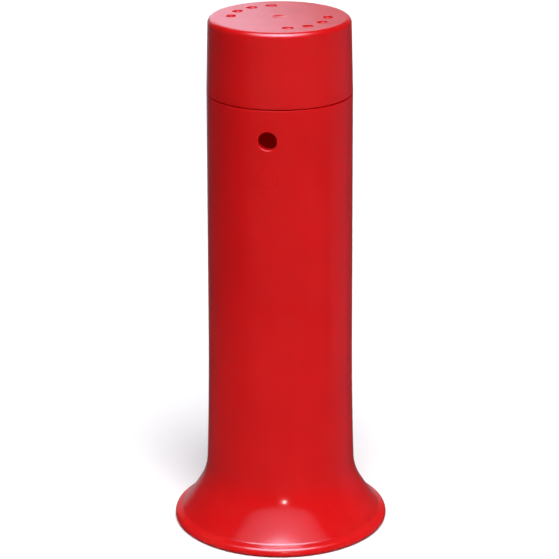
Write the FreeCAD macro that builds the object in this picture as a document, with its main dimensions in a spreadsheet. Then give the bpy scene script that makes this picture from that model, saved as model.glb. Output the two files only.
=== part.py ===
import FreeCAD, Part
import math
import os
import re
import Sketcher

# A water filled post barrier: a hollow moulded post with a flared foot, closed by a screw cap.
# Millimetres, +Z up. The origin is the middle of the base, on the ground. The front faces -Y.

DIMENSIONS = {
    # the whole object
    "total_height": 750.0,
    "wall": 4.0,
    # outline of the moulded post, from its shoulder down to the rim of the foot
    "shoulder_height": 643.25,
    "shoulder_radius": 102.2,
    "shoulder_rounding": 1.2,
    "taper_height": 275.0,
    "taper_radius": 103.5,
    "waist_height": 95.0,
    "waist_radius": 106.85,
    "waist_arc": 6200.0,
    "throat_height": 52.5,
    "throat_radius": 118.8,
    "throat_tilt": 29.7,
    "throat_arc": 91.4,
    "skirt_height": 15.5,
    "skirt_radius": 144.0,
    "skirt_tilt": 39.0,
    "skirt_arc": 277.0,
    "rim_land_height": 12.0,
    "rim_land_radius": 151.2,
    "rim_arc": 7.3,
    "rim_height": 5.6,
    "rim_radius": 155.0,
    "rim_underside_arc": 4.0,
    # underside of the foot
    "base_clearance": 1.0,
    "base_land_inner_radius": 126.0,
    "base_land_thickness": 7.0,
    "base_recess_radius": 117.0,
    "base_recess_height": 12.0,
    # fill hole and the blank round pad under it
    "fill_height": 600.0,
    "fill_azimuth": 9.6,
    "fill_radius": 13.0,
    "fill_collar_radius": 16.5,
    "fill_collar_end": 88.5,
    "blank_height": 547.5,
    "blank_radius": 13.5,
    "blank_proud": 0.8,
    # neck ring
    "neck_outer_radius": 92.0,
    "neck_inner_radius": 88.0,
    "neck_top": 694.0,
    "neck_bottom": 634.0,
    "neck_flange_radius": 97.0,
    "neck_flange_thickness": 3.0,
    "neck_fit": 0.2,
    # coarse thread of four starts between neck and cap
    "thread_lead": 60.0,
    "lug_arc": 50.0,
    "lug_starts": 4.0,
    "lug_thickness": 5.0,
    "lug_gap": 0.6,
    "lug_root": 1.5,
    "neck_lug_height": 661.6,
    "neck_lug_radius": 96.4,
    "cap_lug_radius": 94.0,
    # screw cap
    "cap_bottom": 644.75,
    "cap_bottom_radius": 102.3,
    "cap_top_radius": 99.8,
    "cap_rounding": 8.0,
    "cap_edge_rounding": 0.8,
    "cap_rib": 2.5,
    "plug_rib_radius": 86.5,
    "plug_rib_depth": 8.0,
    "seal_rib_radius": 91.0,
    "web_height": 20.0,
    "web_count": 8.0,
    "recess_ring_radius": 67.0,
    "recess_length": 16.0,
    "recess_width": 13.0,
    "recess_end_arc": 6.55,
    "recess_depth": 2.2,
    "recess_count": 8.0,
    "recess_spacing": 25.5,
    "recess_azimuth": 138.0,
    "dimple_radius": 10.0,
    "dimple_depth": 1.4,
    # rubber ring under the cap
    "seal_inner_radius": 86.9,
    "seal_thickness": 3.0,
    # drain at the back of the foot
    "drain_height": 40.0,
    "boss_radius": 19.0,
    "boss_face": 141.5,
    "bush_radius": 14.0,
    "bush_bore": 10.6,
    "bush_inner_end": 112.0,
    "bush_flange_radius": 18.0,
    "bush_flange_thickness": 3.5,
    "plug_thread_radius": 10.5,
    "plug_root_radius": 9.2,
    "plug_thread_length": 20.0,
    "plug_pitch": 4.0,
    "ridge_flank": 1.2,
    "ridge_crest": 0.8,
    "plug_head_radius": 15.5,
    "plug_head_thickness": 3.0,
    "plug_grip_radius": 10.5,
    "plug_grip_height": 7.0,
    "washer_thickness": 2.0,
    "washer_radius": 14.5,
    # rubber pads under the base
    "pad_count": 6.0,
    "pad_radius": 9.0,
    "pad_thickness": 3.0,
    "pad_ring_radius": 139.0,
    "pad_fit": 0.2,
}

doc = FreeCAD.newDocument("post_barrier")
sheet = doc.addObject("Spreadsheet::Sheet", "Sheet")
for row, (alias, value) in enumerate(DIMENSIONS.items(), start=1):
    sheet.set("A%d" % row, alias)
    sheet.set("B%d" % row, str(value))
    sheet.setAlias("B%d" % row, alias)
doc.recompute()


def cells(expression):
    """The expression with every dimension's name written as its cell in the sheet."""
    def cell(word):
        return "Sheet." + word[0] if word[0] in DIMENSIONS else word[0]
    return re.sub(r"[a-z_]+", cell, expression)


def size(expression):
    """The number that an expression comes to now."""
    number = sheet.evalExpression(cells(expression))
    return float(getattr(number, "Value", number))


def bind(thing, name, expression):
    thing.setExpression(name, cells(expression))


def new_body(label):
    body = doc.addObject("PartDesign::Body", label)
    body.Label = label
    return body


def new_sketch(body, name, plane, lift="0", turn="0"):
    """A sketch on one of the body's origin planes, lifted along its normal and turned.

    A sketch on XY turns about its own normal. One on XZ turns about the upright axis.
    """
    sketch = body.newObject("Sketcher::SketchObject", name)
    for feature in body.Origin.OriginFeatures:
        if feature.Role == plane:
            sketch.AttachmentSupport = [(feature, "")]
    sketch.MapMode = "FlatFace"
    turn_axis = FreeCAD.Vector(0, 0, 1) if plane == "XY_Plane" else FreeCAD.Vector(0, 1, 0)
    rotation = FreeCAD.Rotation(turn_axis, size(turn))
    start = rotation.multVec(FreeCAD.Vector(0, 0, size(lift)))
    sketch.AttachmentOffset = FreeCAD.Placement(start, rotation)
    if plane == "XY_Plane":
        bind(sketch, "AttachmentOffset.Base.z", lift)
    else:
        bind(sketch, "AttachmentOffset.Base.x", "(%s) * sin((%s) * 1deg)" % (lift, turn))
        bind(sketch, "AttachmentOffset.Base.z", "(%s) * cos((%s) * 1deg)" % (lift, turn))
    return sketch


def hold_point(sketch, geometry, end, point, tag):
    """Holds one end of an edge at a point given as two expressions."""
    for letter, kind, axis, expression in zip("xy", ("DistanceX", "DistanceY"), (-2, -1), point):
        if expression == "0":
            sketch.addConstraint(Sketcher.Constraint("PointOnObject", geometry, end, axis))
            continue
        distance = Sketcher.Constraint(kind, -1, 1, geometry, end, size(expression))
        index = sketch.addConstraint(distance)
        sketch.renameConstraint(index, letter + tag)
        bind(sketch, "Constraints." + letter + tag, expression)


def arc_between(start, end, radius, side):
    """An arc from start to end. Its middle lies to the left for side 1 and to the right for -1."""
    chord = end - start
    half = chord.Length / 2
    left = FreeCAD.Vector(-chord.y, chord.x, 0).normalize()
    centre = start + chord / 2 + left * side * math.sqrt(radius ** 2 - half ** 2)
    first, last = (start, end) if side > 0 else (end, start)
    circle = Part.Circle(centre, FreeCAD.Vector(0, 0, 1), radius)
    angles = [math.atan2(point.y - centre.y, point.x - centre.x) for point in (first, last)]
    return Part.ArcOfCircle(circle, angles[0], angles[1])


def outline(sketch, points, arcs=None):
    """A closed outline through points, each two expressions.

    arcs gives the edge that leaves a numbered point a radius and a side: 1 where the arc
    bulges to the right of the way along the outline, -1 where it bulges to the left.
    """
    arcs = arcs or {}
    first_edge = sketch.GeometryCount
    places = [FreeCAD.Vector(size(x), size(y), 0) for x, y in points]
    ends = []
    for number, place in enumerate(places):
        following = places[(number + 1) % len(places)]
        if number not in arcs:
            edge = sketch.addGeometry(Part.LineSegment(place, following), False)
            ends.append((edge, 1, 2))
            continue
        radius, side = arcs[number]
        edge = sketch.addGeometry(arc_between(place, following, size(radius), side), False)
        ends.append((edge, 1, 2) if side > 0 else (edge, 2, 1))
        index = sketch.addConstraint(Sketcher.Constraint("Radius", edge, size(radius)))
        sketch.renameConstraint(index, "arc%d" % edge)
        bind(sketch, "Constraints.arc%d" % edge, radius)
    for number, (edge, start, end) in enumerate(ends):
        before, _, before_end = ends[number - 1]
        sketch.addConstraint(Sketcher.Constraint("Coincident", before, before_end, edge, start))
        hold_point(sketch, edge, start, points[number], "%d" % (first_edge + number))


def circle(sketch, centre_x, centre_y, radius):
    middle = FreeCAD.Vector(size(centre_x), size(centre_y), 0)
    edge = sketch.addGeometry(Part.Circle(middle, FreeCAD.Vector(0, 0, 1), size(radius)), False)
    index = sketch.addConstraint(Sketcher.Constraint("Radius", edge, size(radius)))
    sketch.renameConstraint(index, "radius%d" % edge)
    bind(sketch, "Constraints.radius%d" % edge, radius)
    hold_point(sketch, edge, 3, (centre_x, centre_y), "%d" % edge)


def revolve(body, name, points, arcs=None, cut=False):
    """Turns a half outline about the upright axis, adding to the body or cutting it."""
    sketch = new_sketch(body, name + "_outline", "XZ_Plane")
    outline(sketch, points, arcs)
    feature = body.newObject("PartDesign::Groove" if cut else "PartDesign::Revolution", name)
    feature.Profile = sketch
    feature.ReferenceAxis = (sketch, ["V_Axis"])
    feature.Angle = 360
    doc.recompute()
    return feature


def extrude(body, name, sketch, length, cut=False, backwards=False):
    """Pads or pockets a sketch by a length."""
    before = body.Shape.Volume
    feature = body.newObject("PartDesign::Pocket" if cut else "PartDesign::Pad", name)
    feature.Profile = sketch
    feature.Reversed = backwards
    bind(feature, "Length", length)
    doc.recompute()
    if cut and not body.Shape.Volume < before:
        raise RuntimeError(name + " cuts nothing")
    return feature


def repeat(body, name, feature, count, extent="360"):
    """Repeats a feature around the body's upright axis."""
    pattern = body.newObject("PartDesign::PolarPattern", name)
    pattern.Originals = [feature]
    for axis in body.Origin.OriginFeatures:
        if axis.Role == "Z_Axis":
            pattern.Axis = (axis, [""])
    pattern.Angle = size(extent)
    bind(pattern, "Occurrences", count)
    body.Tip = pattern
    doc.recompute()
    return pattern


def column_shell():
    """The moulded tank: post, flared foot and closed base in one skin."""
    body = new_body("column_shell")
    revolve(body, "outside", [
        ("0", "base_recess_height"),
        ("base_recess_radius", "base_recess_height"),
        ("base_land_inner_radius", "base_clearance"),
        ("rim_radius - rim_underside_arc", "base_clearance"),
        ("rim_radius", "base_clearance + rim_underside_arc"),
        ("rim_radius", "rim_height"),
        ("rim_land_radius", "rim_land_height"),
        ("skirt_radius", "skirt_height"),
        ("throat_radius", "throat_height"),
        ("waist_radius", "waist_height"),
        ("taper_radius", "taper_height"),
        ("shoulder_radius", "shoulder_height - shoulder_rounding"),
        ("shoulder_radius - shoulder_rounding", "shoulder_height"),
        ("0", "shoulder_height"),
    ], {
        3: ("rim_underside_arc", 1),
        5: ("rim_arc", 1),
        7: ("skirt_arc", -1),
        8: ("throat_arc", -1),
        9: ("waist_arc", -1),
        11: ("shoulder_rounding", 1),
    })

    blank = new_sketch(body, "blank_pad_outline", "XZ_Plane", turn="-fill_azimuth")
    circle(blank, "0", "blank_height", "blank_radius")
    extrude(body, "blank_pad", blank, "shoulder_radius + blank_proud")

    revolve(body, "inside", [
        ("0", "base_recess_height + wall"),
        ("base_recess_radius - wall / 2", "base_recess_height + wall"),
        ("base_land_inner_radius", "base_clearance + base_land_thickness"),
        ("skirt_radius + wall / 2", "base_clearance + base_land_thickness"),
        ("skirt_radius - wall * cos(skirt_tilt * 1deg)", "skirt_height - wall * sin(skirt_tilt * 1deg)"),
        ("throat_radius - wall * cos(throat_tilt * 1deg)",
         "throat_height - wall * sin(throat_tilt * 1deg)"),
        ("waist_radius - wall", "waist_height"),
        ("taper_radius - wall", "taper_height"),
        ("shoulder_radius - wall", "shoulder_height - wall - shoulder_rounding"),
        ("shoulder_radius - wall - shoulder_rounding", "shoulder_height - wall"),
        ("0", "shoulder_height - wall"),
    ], {
        4: ("skirt_arc + wall", -1),
        5: ("throat_arc + wall", -1),
        6: ("waist_arc + wall", -1),
        8: ("shoulder_rounding", 1),
    }, cut=True)

    mouth = new_sketch(body, "mouth_outline", "XY_Plane", lift="shoulder_height")
    circle(mouth, "0", "0", "neck_outer_radius + neck_fit")
    extrude(body, "mouth", mouth, "wall + shoulder_rounding", cut=True)

    collar = new_sketch(body, "fill_collar_outline", "XZ_Plane", "fill_collar_end", "-fill_azimuth")
    circle(collar, "0", "fill_height", "fill_collar_radius")
    extrude(body, "fill_collar", collar, "shoulder_radius - wall / 2 - fill_collar_end")

    fill = new_sketch(body, "fill_hole_outline", "XZ_Plane", turn="-fill_azimuth")
    circle(fill, "0", "fill_height", "fill_radius")
    extrude(body, "fill_hole", fill, "rim_radius", cut=True, backwards=True)

    boss = new_sketch(body, "drain_boss_outline", "XZ_Plane", lift="-bush_inner_end")
    circle(boss, "0", "drain_height", "boss_radius")
    extrude(body, "drain_boss", boss, "boss_face - bush_inner_end", backwards=True)

    bore = new_sketch(body, "drain_bore_outline", "XZ_Plane", lift="-bush_inner_end")
    circle(bore, "0", "drain_height", "bush_radius")
    extrude(body, "drain_bore", bore, "rim_radius - bush_inner_end", cut=True)

    pocket = new_sketch(body, "pad_pocket_outline", "XY_Plane", lift="base_clearance")
    circle(pocket, "pad_ring_radius", "0", "pad_radius + pad_fit")
    pad_pocket = extrude(body, "pad_pocket", pocket, "pad_thickness - base_clearance",
                         cut=True, backwards=True)
    repeat(body, "pad_pockets", pad_pocket, "pad_count")
    return body


def thread_lugs(body, name, inner, outer, height):
    """Four lugs of a right-hand thread, each a short rising stretch of helix."""
    sketch = new_sketch(body, name + "_outline", "XZ_Plane")
    low = height + " - lug_thickness / 2"
    high = height + " + lug_thickness / 2"
    outline(sketch, [(inner, low), (outer, low), (outer, high), (inner, high)])
    lug = body.newObject("PartDesign::AdditiveHelix", name)
    lug.Profile = sketch
    lug.ReferenceAxis = (sketch, ["V_Axis"])
    lug.Mode = "pitch-turns-angle"
    bind(lug, "Pitch", "thread_lead")
    bind(lug, "Turns", "lug_arc / 360")
    lug.LeftHanded = False
    doc.recompute()
    repeat(body, name + "_around", lug, "lug_starts")


def neck_ring():
    """The ring welded into the shoulder, which the cap screws on to."""
    body = new_body("neck_ring")
    revolve(body, "ring", [
        ("neck_inner_radius", "neck_bottom"),
        ("neck_outer_radius", "neck_bottom"),
        ("neck_outer_radius", "shoulder_height"),
        ("neck_flange_radius", "shoulder_height"),
        ("neck_flange_radius", "shoulder_height + neck_flange_thickness"),
        ("neck_outer_radius", "shoulder_height + neck_flange_thickness"),
        ("neck_outer_radius", "neck_top"),
        ("neck_inner_radius", "neck_top"),
    ])
    thread_lugs(body, "neck_lug", "neck_outer_radius - lug_root", "neck_lug_radius",
                "neck_lug_height")
    return body


def screw_cap():
    """The deep cap: skirt with lugs inside, two ribs that hold the rubber ring, and webs."""
    body = new_body("screw_cap")
    roof = "total_height - wall"
    hub = "dimple_radius + wall"
    revolve(body, "cap", [
        ("0", "total_height - dimple_depth"),
        ("0", "total_height - wall - web_height"),
        (hub, "total_height - wall - web_height"),
        (hub, roof),
        ("plug_rib_radius - cap_rib", roof),
        ("plug_rib_radius - cap_rib", "neck_top - plug_rib_depth"),
        ("plug_rib_radius", "neck_top - plug_rib_depth"),
        ("plug_rib_radius", roof),
        ("seal_rib_radius - cap_rib", roof),
        ("seal_rib_radius - cap_rib", "neck_top + seal_thickness"),
        ("seal_rib_radius", "neck_top + seal_thickness"),
        ("seal_rib_radius", roof),
        ("cap_top_radius - cap_rounding", roof),
        ("cap_top_radius - wall", "total_height - cap_rounding"),
        ("cap_bottom_radius - wall", "cap_bottom"),
        ("cap_bottom_radius - cap_edge_rounding", "cap_bottom"),
        ("cap_bottom_radius", "cap_bottom + cap_edge_rounding"),
        ("cap_top_radius", "total_height - cap_rounding"),
        ("cap_top_radius - cap_rounding", "total_height"),
        ("dimple_radius", "total_height"),
    ], {
        12: ("cap_rounding - wall", -1),
        15: ("cap_edge_rounding", 1),
        17: ("cap_rounding", 1),
        19: ("(dimple_radius ^ 2 + dimple_depth ^ 2) / (2 * dimple_depth)", -1),
    })
    thread_lugs(body, "cap_lug", "cap_lug_radius", "cap_bottom_radius - wall + lug_root",
                "neck_lug_height - lug_thickness - lug_gap")

    web = new_sketch(body, "web_outline", "XY_Plane", lift="total_height - wall - web_height")
    near = hub + " - cap_rib"
    far = "plug_rib_radius - cap_rib / 2"
    outline(web, [(near, "-cap_rib / 2"), (far, "-cap_rib / 2"), (far, "cap_rib / 2"),
                  (near, "cap_rib / 2")])
    repeat(body, "webs", extrude(body, "web", web, "web_height + wall / 2"), "web_count")

    # two facing arcs of plain oval recesses in the top
    for number, side in enumerate(("0", "180"), start=1):
        start = "recess_azimuth - recess_spacing * (recess_count / 2 - 1) / 2 + " + side
        recess = new_sketch(body, "recess_outline_%d" % number, "XY_Plane", "total_height", start)
        half_straight = "(recess_length - recess_width) / 2"
        inner = "recess_ring_radius - recess_width / 2"
        outer = "recess_ring_radius + recess_width / 2"
        outline(recess, [(inner, half_straight), (inner, "-" + half_straight),
                         (outer, "-" + half_straight), (outer, half_straight)],
                {1: ("recess_end_arc", 1), 3: ("recess_end_arc", 1)})
        one = extrude(body, "recess_%d" % number, recess, "recess_depth", cut=True)
        repeat(body, "recesses_%d" % number, one, "recess_count / 2",
               "recess_spacing * (recess_count / 2 - 1)")
    return body


def cap_seal():
    """The flat rubber ring between the neck's rim and the cap."""
    body = new_body("cap_seal")
    revolve(body, "seal", [
        ("seal_inner_radius", "neck_top"),
        ("neck_outer_radius", "neck_top"),
        ("neck_outer_radius", "neck_top + seal_thickness"),
        ("seal_inner_radius", "neck_top + seal_thickness"),
    ])
    return body


def place_at_drain(body):
    """Turns a piece made along +Z to point out of the back of the foot, from the boss's face."""
    body.Placement = FreeCAD.Placement(
        FreeCAD.Vector(0, size("boss_face"), size("drain_height")),
        FreeCAD.Rotation(FreeCAD.Vector(1, 0, 0), -90))
    bind(body, "Placement.Base.y", "boss_face")
    bind(body, "Placement.Base.z", "drain_height")
    return body


def drain_bush():
    """The bush in the drain boss, with a flange inside the tank."""
    body = new_body("drain_bush")
    flange_face = "bush_inner_end - boss_face"
    end = flange_face + " - bush_flange_thickness"
    revolve(body, "bush", [
        ("bush_bore", end),
        ("bush_flange_radius", end),
        ("bush_flange_radius", flange_face),
        ("bush_radius", flange_face),
        ("bush_radius", "0"),
        ("bush_bore", "0"),
    ])
    return place_at_drain(body)


def drain_plug():
    """The plug: a coarse thread drawn as ridges, a round head and a hexagon grip."""
    body = new_body("drain_plug")
    turns = int(size("plug_thread_length / plug_pitch"))
    points = [("0", "washer_thickness - plug_thread_length - plug_pitch"),
              ("plug_root_radius", "washer_thickness - plug_thread_length - plug_pitch")]
    for turn in range(turns):
        bottom = "washer_thickness - plug_thread_length + plug_pitch * %d" % turn
        points += [("plug_root_radius", bottom),
                   ("plug_thread_radius", bottom + " + ridge_flank"),
                   ("plug_thread_radius", bottom + " + ridge_flank + ridge_crest"),
                   ("plug_root_radius", bottom + " + ridge_flank * 2 + ridge_crest")]
    points += [("plug_root_radius", "washer_thickness"),
               ("plug_head_radius", "washer_thickness"),
               ("plug_head_radius", "washer_thickness + plug_head_thickness"),
               ("0", "washer_thickness + plug_head_thickness")]
    revolve(body, "screw", points)
    grip = new_sketch(body, "grip_outline", "XY_Plane", lift="washer_thickness + plug_head_thickness")
    outline(grip, [("plug_grip_radius * cos(%d * 1deg)" % angle, "plug_grip_radius * sin(%d * 1deg)" % angle)
                   for angle in range(30, 390, 60)])
    extrude(body, "grip", grip, "plug_grip_height")
    return place_at_drain(body)


def drain_seal():
    """The rubber washer under the plug's head."""
    body = new_body("drain_seal")
    revolve(body, "washer", [
        ("bush_bore", "0"),
        ("washer_radius", "0"),
        ("washer_radius", "washer_thickness"),
        ("bush_bore", "washer_thickness"),
    ])
    return place_at_drain(body)


def foot_pads():
    """Six round rubber pads in the underside of the foot, just proud of it."""
    pads = []
    for number in range(int(size("pad_count"))):
        pad = doc.addObject("Part::Cylinder", "foot_pad_%d" % (number + 1))
        angle = "%d * 360deg / pad_count" % number
        bind(pad, "Radius", "pad_radius")
        bind(pad, "Height", "pad_thickness")
        bind(pad, "Placement.Base.x", "pad_ring_radius * cos(%s)" % angle)
        bind(pad, "Placement.Base.y", "pad_ring_radius * sin(%s)" % angle)
        pads.append(pad)
    group = doc.addObject("Part::Compound", "foot_pads")
    group.Label = "foot_pads"
    group.Links = pads
    return group


pieces = [
    column_shell(), neck_ring(), screw_cap(), cap_seal(),
    drain_bush(), drain_plug(), drain_seal(), foot_pads(),
]
doc.recompute()

for thing in doc.Objects:
    if "Invalid" in thing.State or "Error" in thing.State:
        raise RuntimeError("%s failed: %s" % (thing.Name, thing.State))
os.makedirs("parts", exist_ok=True)
for piece in pieces:
    if piece.Shape.isNull() or not piece.Shape.isValid():
        raise RuntimeError(piece.Label + " has no valid shape")
    piece.Shape.exportStep("parts/%s.step" % piece.Label)
    box = piece.Shape.optimalBoundingBox()
    print("%-14s %2d solids %10.1f mm3  x %7.2f %7.2f  y %7.2f %7.2f  z %7.2f %7.2f" % (
        piece.Label, len(piece.Shape.Solids), piece.Shape.Volume,
        box.XMin, box.XMax, box.YMin, box.YMax, box.ZMin, box.ZMax))
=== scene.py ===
import math

import bmesh
import bpy
from mathutils import Matrix, Vector


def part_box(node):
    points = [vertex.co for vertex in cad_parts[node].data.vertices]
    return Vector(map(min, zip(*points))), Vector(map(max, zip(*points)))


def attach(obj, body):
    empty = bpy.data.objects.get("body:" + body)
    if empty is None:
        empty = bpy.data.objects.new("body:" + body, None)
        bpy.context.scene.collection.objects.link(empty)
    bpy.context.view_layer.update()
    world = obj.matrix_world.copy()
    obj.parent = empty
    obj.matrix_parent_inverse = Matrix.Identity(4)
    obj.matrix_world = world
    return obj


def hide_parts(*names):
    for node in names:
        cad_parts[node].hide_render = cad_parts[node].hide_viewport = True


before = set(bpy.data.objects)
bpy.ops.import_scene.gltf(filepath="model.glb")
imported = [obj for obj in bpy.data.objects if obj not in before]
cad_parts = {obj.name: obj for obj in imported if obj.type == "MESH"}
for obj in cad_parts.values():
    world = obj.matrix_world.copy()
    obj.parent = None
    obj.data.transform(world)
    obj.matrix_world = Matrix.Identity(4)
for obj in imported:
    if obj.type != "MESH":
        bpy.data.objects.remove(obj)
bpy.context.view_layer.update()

# The looks of the water filled post barrier. Metres, +Z up, the front faces -Y.
MM = 0.001
COLUMNS = 192           # steps around every large turned surface
SMALL_COLUMNS = 96      # steps around the drain's pieces
PAD_COLUMNS = 48        # steps around a foot pad
POLE_R = 1e-7           # an outline point nearer to the axis than this lies on it
FLAT_ERROR = 1e-6       # how far a point on a flat may be off the flat's height


# -------------------------------- sizes, from the frame

shell_low, shell_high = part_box("column_shell")
cap_low, cap_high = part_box("screw_cap")
neck_low, neck_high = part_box("neck_ring")
seal_low, seal_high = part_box("cap_seal")
bush_low, bush_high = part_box("drain_bush")
plug_low, plug_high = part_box("drain_plug")
_, washer_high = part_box("drain_seal")
_, pads_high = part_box("foot_pads")

WALL = 4.0 * MM
BASE_Z = shell_low.z
UNDERSIDE_Z = 12.0 * MM                     # the roof of the hollow under the foot
LAND_R = 126.0 * MM                         # the inner edge of the flat under the foot's rim
RIM_R = shell_high.x
CREASE = (144.0 * MM, 15.5 * MM)            # where the rim ends and the flare begins
SHOULDER_Z = shell_high.z
SHOULDER_R = 102.2 * MM
MOUTH_R = 92.2 * MM

CAP_TOP_Z = cap_high.z
CAP_BOTTOM_Z = cap_low.z
CAP_BOTTOM_R = cap_high.x
CAP_TOP_R = CAP_BOTTOM_R - 2.5 * MM
CAP_ROUNDING = 8.0 * MM
RECESS_RING_R = 67.0 * MM
RECESS_REACH = 10.0 * MM                    # from the ring to the end of a recess's window
RECESSES_IN_ARC = 4
WEB_COUNT = 8

NECK_OUTER_R = seal_high.x
NECK_INNER_R = NECK_OUTER_R - WALL
NECK_FLANGE_R = neck_high.x
THREAD_RISE = 60.0 * MM / (2 * math.pi)     # of the cap's thread, per radian
LUG_ARC = math.radians(50)
LUG_STARTS = 4
LUG_THICKNESS = 5.0 * MM
NECK_LUG_Z = 661.6 * MM
NECK_LUG_HEIGHT = 4.4 * MM
CAP_LUG_Z = NECK_LUG_Z - 5.6 * MM
CAP_LUG_R = 94.0 * MM

FILL_AZIMUTH = math.radians(-90 - 9.6)
FILL_Z = 600.0 * MM
FILL_R = 13.0 * MM
COLLAR_R = 16.5 * MM
COLLAR_END = 88.5 * MM
BLANK_Z = 547.5 * MM
BLANK_R = 13.5 * MM

DRAIN_AZIMUTH = math.radians(90)
DRAIN_Z = (bush_low.z + bush_high.z) / 2
BUSH_FLANGE = 3.5 * MM
BOSS_FACE_Y = bush_high.y
BOSS_END_Y = bush_low.y + BUSH_FLANGE
BOSS_R = 19.0 * MM
BUSH_R = 14.0 * MM
BUSH_FLANGE_R = bush_high.x
BUSH_BORE = 10.6 * MM

PAD_COUNT = 6
PAD_R = 9.0 * MM
PAD_RING_R = pads_high.x - PAD_R
PAD_TOP_Z = pads_high.z
PAD_GAP = 0.02 * MM                         # half the gap between a pad's top and its pocket


# -------------------------------- outlines

def lerp(a, b, part):
    return a + (b - a) * part


def ease(part):
    """A smooth step from 0 to 1, level at both ends and held beyond them."""
    part = min(1, max(0, part))
    return part * part * (3 - 2 * part)


def line(start, end, spacing):
    """Points from start to end, both counted, about spacing apart."""
    steps = max(1, round((Vector(end) - Vector(start)).length / spacing))
    return [Vector(start).lerp(Vector(end), step / steps) for step in range(steps + 1)]


def arc(start, end, radius, side, spacing):
    """Points on an arc. Its middle lies to the left of the way for side 1, to the right for -1."""
    start, end = Vector(start), Vector(end)
    chord = end - start
    half = chord.length / 2
    left = Vector((-chord.y, chord.x)).normalized()
    centre = start + chord / 2 + left * side * math.sqrt(radius ** 2 - half ** 2)
    first = math.atan2(start.y - centre.y, start.x - centre.x)
    turn = 2 * math.asin(half / radius) * side
    steps = max(3, round(abs(turn) * radius / spacing))
    return [centre + radius * Vector((math.cos(first + turn * step / steps),
                                      math.sin(first + turn * step / steps)))
            for step in range(steps + 1)]


def cut_back(points, length):
    """The run of points with its first stretch of that length taken off."""
    points = list(points)
    while len(points) > 2 and (points[1] - points[0]).length <= length:
        length -= (points[1] - points[0]).length
        points.pop(0)
    points[0] = points[0] + (points[1] - points[0]).normalized() * length
    return points


def joined(runs, reaches, steps=4):
    """Runs of points end to end, each corner between two of them rounded over its reach."""
    whole = list(runs[0])
    for run, reach in zip(runs[1:], reaches):
        corner = whole[-1]
        if reach == 0:
            whole += run[1:]
            continue
        whole = cut_back(whole[::-1], reach)[::-1]
        run = cut_back(run, reach)
        before, after = whole[-1], run[0]
        for step in range(1, steps):
            part = step / steps
            whole.append(before.lerp(corner, part).lerp(corner.lerp(after, part), part))
        whole += run
    return whole


def polyline(corners, spacing, reach):
    """Straight runs between corners, all corners rounded by the same reach."""
    runs = [line(a, b, spacing) for a, b in zip(corners, corners[1:])]
    return joined(runs, [reach] * (len(runs) - 1))


def closed_ring(corners, spacing, reach):
    """A closed outline with rounded corners, starting halfway along its first side."""
    middle = Vector(corners[0]).lerp(Vector(corners[1]), 0.5)
    around = [middle] + [Vector(c) for c in corners[1:]] + [Vector(corners[0]), middle]
    return polyline(around, spacing, reach)[:-1]


def row_at_radius(outline, z, radius):
    """The row of the flat at a height that comes nearest to a radius."""
    flat = [row for row in range(len(outline)) if abs(outline[row].y - z) < FLAT_ERROR]
    return min(flat, key=lambda row: abs(outline[row].x - radius))


def column_at(azimuth):
    """The column of a large grid that lies nearest to an azimuth from the grid's start."""
    return round(azimuth / (2 * math.pi) * COLUMNS)


# -------------------------------- skins

class Skin:
    """A mesh in the making: a turned grid, windows cut in it, and rings that fill the windows."""

    def __init__(self):
        self.points = []
        self.rows = []      # the grid's points: a list for each point of its outline
        self.cells = {}     # the grid's faces, by row and column
        self.faces = []     # the faces of the rings and fans

    def add(self, point):
        self.points.append(Vector(point))
        return len(self.points) - 1

    def grid(self, outline, columns, place, wrap=False):
        """Turns an outline. place gives the point for (outline point, azimuth)."""
        for spot in outline:
            if spot.x < POLE_R:
                self.rows.append([self.add(place(Vector((0, spot.y)), 0))] * columns)
                continue
            self.rows.append([self.add(place(spot, 2 * math.pi * column / columns))
                              for column in range(columns)])
        count = len(self.rows) if wrap else len(self.rows) - 1
        for row in range(count):
            near, far = self.rows[row], self.rows[(row + 1) % len(self.rows)]
            for column in range(columns):
                after = (column + 1) % columns
                corners = [near[column], near[after], far[after], far[column]]
                self.cells[row, column] = list(dict.fromkeys(corners))

    def window(self, row_from, row_to, column_from, column_to):
        """Cuts a window out of the grid and gives its edge as a loop of points."""
        columns = len(self.rows[0])
        low, high = sorted((row_from, row_to))
        for row in range(low, high):
            for column in range(column_from, column_to):
                del self.cells[row, column % columns]
        step = 1 if row_to > row_from else -1
        across = range(column_from, column_to)
        loop = [self.rows[row_from][c % columns] for c in across]
        loop += [self.rows[r][column_to % columns] for r in range(row_from, row_to, step)]
        loop += [self.rows[row_to][(c + 1) % columns] for c in reversed(across)]
        loop += [self.rows[r][column_from % columns] for r in range(row_to, row_from, -step)]
        return loop

    def bridge(self, loop, other):
        """Closes the band between two loops with the same number of points."""
        for number in range(len(loop)):
            after = (number + 1) % len(loop)
            self.faces.append([loop[number], loop[after], other[after], other[number]])
        return other

    def ring(self, loop, points):
        """Adds a loop of new points next to a loop."""
        return self.bridge(loop, [self.add(point) for point in points])

    def fan(self, loop, middle):
        """Closes a loop with triangles around a new point in its middle."""
        centre = self.add(middle)
        for number in range(len(loop)):
            self.faces.append([loop[number], loop[(number + 1) % len(loop)], centre])

    def build(self, name):
        """The finished mesh object, all smooth, with its normals outward and no loose points."""
        mesh = bpy.data.meshes.new(name)
        faces = list(self.cells.values()) + self.faces
        mesh.from_pydata([tuple(point) for point in self.points], [], faces)
        shaped = bmesh.new()
        shaped.from_mesh(mesh)
        loose = [vert for vert in shaped.verts if not vert.link_faces]
        bmesh.ops.delete(shaped, geom=loose, context="VERTS")
        bmesh.ops.recalc_face_normals(shaped, faces=shaped.faces)
        for face in shaped.faces:
            face.smooth = True
        shaped.to_mesh(mesh)
        shaped.free()
        piece = bpy.data.objects.new(name, mesh)
        bpy.context.scene.collection.objects.link(piece)
        return piece


def around_z(spot, azimuth):
    """The place of an outline point that has turned about the barrier's own axis."""
    return Vector((spot.x * math.cos(azimuth), spot.x * math.sin(azimuth), spot.y))


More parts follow.
